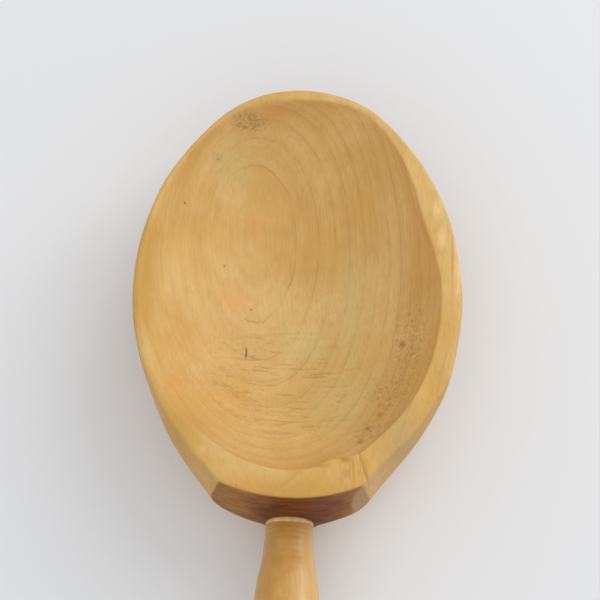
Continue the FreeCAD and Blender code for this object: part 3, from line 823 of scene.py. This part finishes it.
def bowl_wood():
    """Pale seasoned wood: yellow and smooth on the brim, duller in the hollow, dark on the sawn end."""
    look = Look("bowl_wood")
    place = look.place()
    grain = Vector((-math.tan(PITH_LEAN), 1, math.tan(PITH_TILT))).normalized()
    line, fine, bands, fibres, flecks = wood_grain(look, place, PITH, grain, RING_SPACING, FIRST_RING,
                                                   wobble=1.0)
    hollow, brim, sawn = (look.zone(name) for name in ("hollow", "brim", "sawn"))
    cloud = look.noise(place, 0.028, detail=3.0, roughness=0.55)
    patch = look.noise(place, 0.07, detail=2.0, roughness=0.5)
    blotch = look.noise(place, 0.16, detail=3.0, roughness=0.6)
    grit = look.noise(place, 0.55, detail=3.0, roughness=0.65)
    end_grain = look.span(look.facing(grain), 0.45, 0.98)

    outer = look.blend(look.span(cloud, 0.35, 0.65), colour(218, 174, 110), colour(206, 162, 98))
    top = look.blend(look.span(cloud, 0.35, 0.65), colour(228, 187, 116), colour(222, 176, 98))
    inside = look.blend(look.span(cloud, 0.35, 0.65), colour(231, 194, 128), colour(223, 180, 106))
    base = look.blend(hollow, look.blend(brim, outer, top), inside)
    base = look.blend(look.span(blotch, 0.45, 0.72, 0.0, 0.3), base, colour(216, 166, 98))
    base = look.blend(look.span(patch, 0.5, 0.72, 0.0, 0.3), base, colour(232, 192, 132))
    base = look.tint(base, end_grain, 0.24, 196, 144, 74)
    base = look.blend(look.span(bands, 0.42, 0.66, 0.0, 0.22), base, colour(196, 146, 74))
    # These include painted light ("pale") and painted shade ("line", "shade") along with the wood's own
    # colours.
    for kind, strength, tint in BOWL_TINTS:
        base = look.tint(base, marks(look, place, kind, 0.5, blotch, 0.0), strength, *tint)
    # The right facet beside the sawn end, outside the brim: greyer wood, and painted light where it faces
    # the window.
    grey_and_lit_facet_share = marks(look, place, "grey_and_lit_facet", 0.5, blotch, 0.0)
    grey_and_lit_facet_share = look.math("MULTIPLY", grey_and_lit_facet_share, look.span(brim, 0.0, 0.5, 0.4, 0.0))
    base = look.blend(grey_and_lit_facet_share, base, colour(222, 196, 160))
    base = look.blend(sawn, base, sawn_tone(look, place, blotch))

    # The rings show in patches, and less on the brim, to the left and where the wood is olive.
    strength = look.math("MULTIPLY", line, look.span(patch, 0.32, 0.68, 0.25, 1.0))
    strength = look.math("MULTIPLY", strength, look.span(brim, 0.0, 1.0, 1.0, 0.5))
    rightward = look.vector("DOT_PRODUCT", place, (1.0, 0.0, 0.0))
    strength = look.math("MULTIPLY", strength, look.span(rightward, -60.0, -10.0, 0.35, 1.0))
    in_olive = marks(look, place, "olive", 0.5, blotch)
    strength = look.math("MULTIPLY", strength, look.span(in_olive, 0.0, 1.0, 1.0, 0.3))
    base = look.tint(base, strength, 0.5, 162, 112, 54)
    base = look.blend(look.math("MULTIPLY_ADD", fine, 0.025, 0.025), base, colour(178, 132, 76))
    base = look.blend(look.span(fibres, 0.4, 0.75, 0.0, 0.18), base, colour(166, 120, 64))
    base = look.tint(base, flecks, 0.14, 150, 108, 60)

    # Tear lines lie across the grain where the hollow climbs to the handle end.
    across = look.span(look.noise(place, (0.045, 0.55, 0.55), detail=2.0, roughness=0.6), 0.54, 0.66)
    climbing = look.spot(place, on_hollow(-0.1, -0.5), (58, 46, 30), 0.6, blotch, 0.4)
    tears = look.math("MULTIPLY", look.math("MULTIPLY", across, climbing), hollow)
    base = look.tint(base, tears, 0.4, 176, 128, 70)
    rough = marks(look, place, "torn", 0.9, blotch)
    base = look.tint(base, rough, 0.1, 168, 126, 76)
    torn = look.math("MULTIPLY", rough, look.span(grit, 0.53, 0.64))
    base = look.tint(base, torn, 0.32, 132, 94, 60)
    lifted = look.math("MULTIPLY", rough, look.span(grit, 0.45, 0.36))
    base = look.tint(base, lifted, 0.4, 238, 204, 150)
    mould = marks(look, place, "mould", 0.7, blotch)
    mould = look.math("MULTIPLY", mould, look.span(grit, 0.5, 0.6, 0.2, 1.0))
    base = look.tint(base, mould, 0.48, 118, 100, 72)
    strands = look.span(look.noise(place, (1.1, 0.12, 0.3), detail=2.0), 0.42, 0.66)
    stripes = look.math("MULTIPLY", marks(look, place, "stripes", 0.6, blotch), strands)
    base = look.tint(base, stripes, 0.36, 170, 116, 52)
    base = look.tint(base, marks(look, place, "speck", 0.3, grit), 0.7, 96, 62, 32)
    look.feed(look.shader.inputs["Base Color"], base)

    look.feed(look.shader.inputs["Roughness"], look.span(fibres, 0.3, 0.7, 0.5, 0.66))
    look.shader.inputs["Specular IOR Level"].default_value = 0.2
    relief = look.math("MULTIPLY_ADD", flecks, -0.8, look.math("MULTIPLY", fibres, 0.7))
    relief = look.math("MULTIPLY_ADD", look.math("MAXIMUM", torn, tears), -1.2, relief)
    look.feed(look.shader.inputs["Normal"], look.bump(relief, 0.12, 0.5))
    return look.material


def handle_wood():
    """The handle's darker, hand-polished wood, its grain along its own axis."""
    look = Look("handle_wood")
    place = look.place()
    line, fine, bands, fibres, flecks = wood_grain(look, place, pith=(34.0, -107.0, -8.0), grain=HANDLE_AXIS,
                                                   spacing=5.2, first=40.0, wobble=2.2)
    cloud = look.noise(place, 0.05, detail=2.0)
    blotch = look.noise(place, 0.2, detail=3.0, roughness=0.6)
    base = look.blend(look.span(cloud, 0.3, 0.7), colour(216, 164, 80), colour(202, 146, 60))
    base = look.blend(look.span(blotch, 0.42, 0.68, 0.0, 0.4), base, colour(192, 136, 54))
    base = look.blend(look.span(bands, 0.42, 0.66, 0.0, 0.25), base, colour(176, 120, 48))
    # Painted light: the handle's right side, which faces the window, is painted lighter.
    rightward = look.span(look.vector("DOT_PRODUCT", place, (1.0, 0.0, 0.0)), 2.0, 11.0, 0.0, 0.6)
    base = look.blend(rightward, base, colour(240, 196, 124))
    base = look.tint(base, line, 0.16, 150, 104, 52)
    base = look.blend(look.math("MULTIPLY_ADD", fine, 0.02, 0.02), base, colour(150, 104, 52))
    base = look.blend(look.span(fibres, 0.35, 0.72, 0.0, 0.14), base, colour(150, 104, 50))
    base = look.tint(base, flecks, 0.12, 120, 80, 38)
    look.feed(look.shader.inputs["Base Color"], base)
    look.feed(look.shader.inputs["Roughness"], look.span(fibres, 0.3, 0.7, 0.27, 0.36))
    look.shader.inputs["Specular IOR Level"].default_value = 0.6
    relief = look.math("MULTIPLY_ADD", flecks, -0.6, look.math("MULTIPLY", fibres, 0.5))
    look.feed(look.shader.inputs["Normal"], look.bump(relief, 0.06, 0.5))
    return look.material


def wedge_wood():
    """The wedge's plain pale wood."""
    look = Look("wedge_wood")
    place = look.place()
    line, _, _, fibres, _ = wood_grain(look, place, pith=(6.0, -80.0, 70.0), grain=HANDLE_AXIS,
                                       spacing=3.0, first=20.0, wobble=1.0)
    base = look.tint(colour(214, 178, 124), line, 0.4, 160, 116, 66)
    base = look.blend(look.span(fibres, 0.35, 0.72, 0.0, 0.2), base, colour(150, 106, 58))
    look.feed(look.shader.inputs["Base Color"], base)
    look.shader.inputs["Roughness"].default_value = 0.7
    look.feed(look.shader.inputs["Normal"], look.bump(fibres, 0.1, 0.5))
    return look.material


def dried_glue():
    """Old cream-coloured glue, dull, with a few dusty patches."""
    look = Look("dried_glue")
    place = look.place()
    dust = look.noise(place, 0.25, detail=3.0, roughness=0.5)
    tone = look.blend(look.span(dust, 0.35, 0.7), colour(228, 188, 142), colour(212, 170, 116))
    look.feed(look.shader.inputs["Base Color"], tone)
    look.feed(look.shader.inputs["Roughness"], look.span(dust, 0.3, 0.7, 0.5, 0.75))
    look.feed(look.shader.inputs["Normal"], look.bump(dust, 0.1, 0.4))
    return look.material


# ---------------------------------------------------------------- floor, light and camera

def make_floor():
    """A plain pale floor, wide enough to fill the picture from every side."""
    look = Look("pale_floor")
    look.feed(look.shader.inputs["Base Color"], colour(235, 235, 236))
    look.shader.inputs["Roughness"].default_value = 0.9
    look.shader.inputs["Specular IOR Level"].default_value = 0.1
    mesh = bpy.data.meshes.new("floor")
    half = 4.0
    corners = [(-half, -half, 0), (half, -half, 0), (half, half, 0), (-half, half, 0)]
    mesh.from_pydata(corners, [], [(0, 1, 2, 3)])
    mesh.materials.append(look.material)
    floor = bpy.data.objects.new("floor", mesh)
    bpy.context.scene.collection.objects.link(floor)


def add_light(name, place, size, power, tint=(1.0, 1.0, 1.0)):
    """A round soft light, aimed at the middle of the bowl."""
    aim = Vector((0, 0, 0.03))
    lamp = bpy.data.lights.new(name, "AREA")
    lamp.shape, lamp.size, lamp.energy, lamp.color = "DISK", size, power, tint
    holder = bpy.data.objects.new(name, lamp)
    holder.location = place
    holder.rotation_euler = (aim - Vector(place)).to_track_quat("-Z", "Y").to_euler()
    bpy.context.scene.collection.objects.link(holder)


def light_studio():
    """An even fill, a large window and a small pane beyond the tip on the right, and a faint front light."""
    world = bpy.data.worlds.new("studio")
    world.use_nodes = True
    background = world.node_tree.nodes["Background"]
    background.inputs["Color"].default_value = (0.94, 0.965, 0.995, 1)
    background.inputs["Strength"].default_value = 0.735
    bpy.context.scene.world = world
    add_light("window", (1.45, 1.45, 1.6), 2.4, 20.0, (1.0, 0.98, 0.945))
    add_light("pane", (1.62, 1.02, 0.95), 0.7, 3.6, (1.0, 0.975, 0.93))
    add_light("front", (-0.3, -1.6, 1.9), 2.0, 6.5)


def place_camera():
    """Looks down at the bowl from over the handle, a little off upright, with a long lens."""
    target, distance = Vector((0, 0, BRIM / 2 * MM)), 0.9
    tilt, roll = math.radians(18.3), math.radians(2.0)
    lens = bpy.data.cameras.new("camera")
    lens.lens, lens.sensor_width = 108.0, 36.0
    lens.shift_x, lens.shift_y = 0.005, 0.02
    lens.clip_start, lens.clip_end = 0.02, 50.0
    camera = bpy.data.objects.new("camera", lens)
    turn = Matrix.Rotation(tilt, 4, "X") @ Matrix.Rotation(roll, 4, "Z")
    camera.matrix_world = Matrix.Translation(target) @ turn @ Matrix.Translation((0, 0, distance))
    bpy.context.scene.collection.objects.link(camera)
    bpy.context.scene.camera = camera


# ---------------------------------------------------------------- putting it together

def dress(piece, material, node=None):
    """Gives a piece its material and, for a new piece, puts it on the root body in its CAD node's place,
    hiding the node.
    """
    piece.data.materials.clear()
    piece.data.materials.append(material)
    if node:
        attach(piece, "root")
        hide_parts(node)


dress(make_bowl(), bowl_wood(), "bowl")
dress(make_handle(), handle_wood(), "handle")
dress(make_glue(), dried_glue(), "glue")
dress(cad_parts["tenon_wedge"], wedge_wood())
make_floor()
light_studio()
place_camera()
bpy.context.scene.view_settings.view_transform = "Standard"
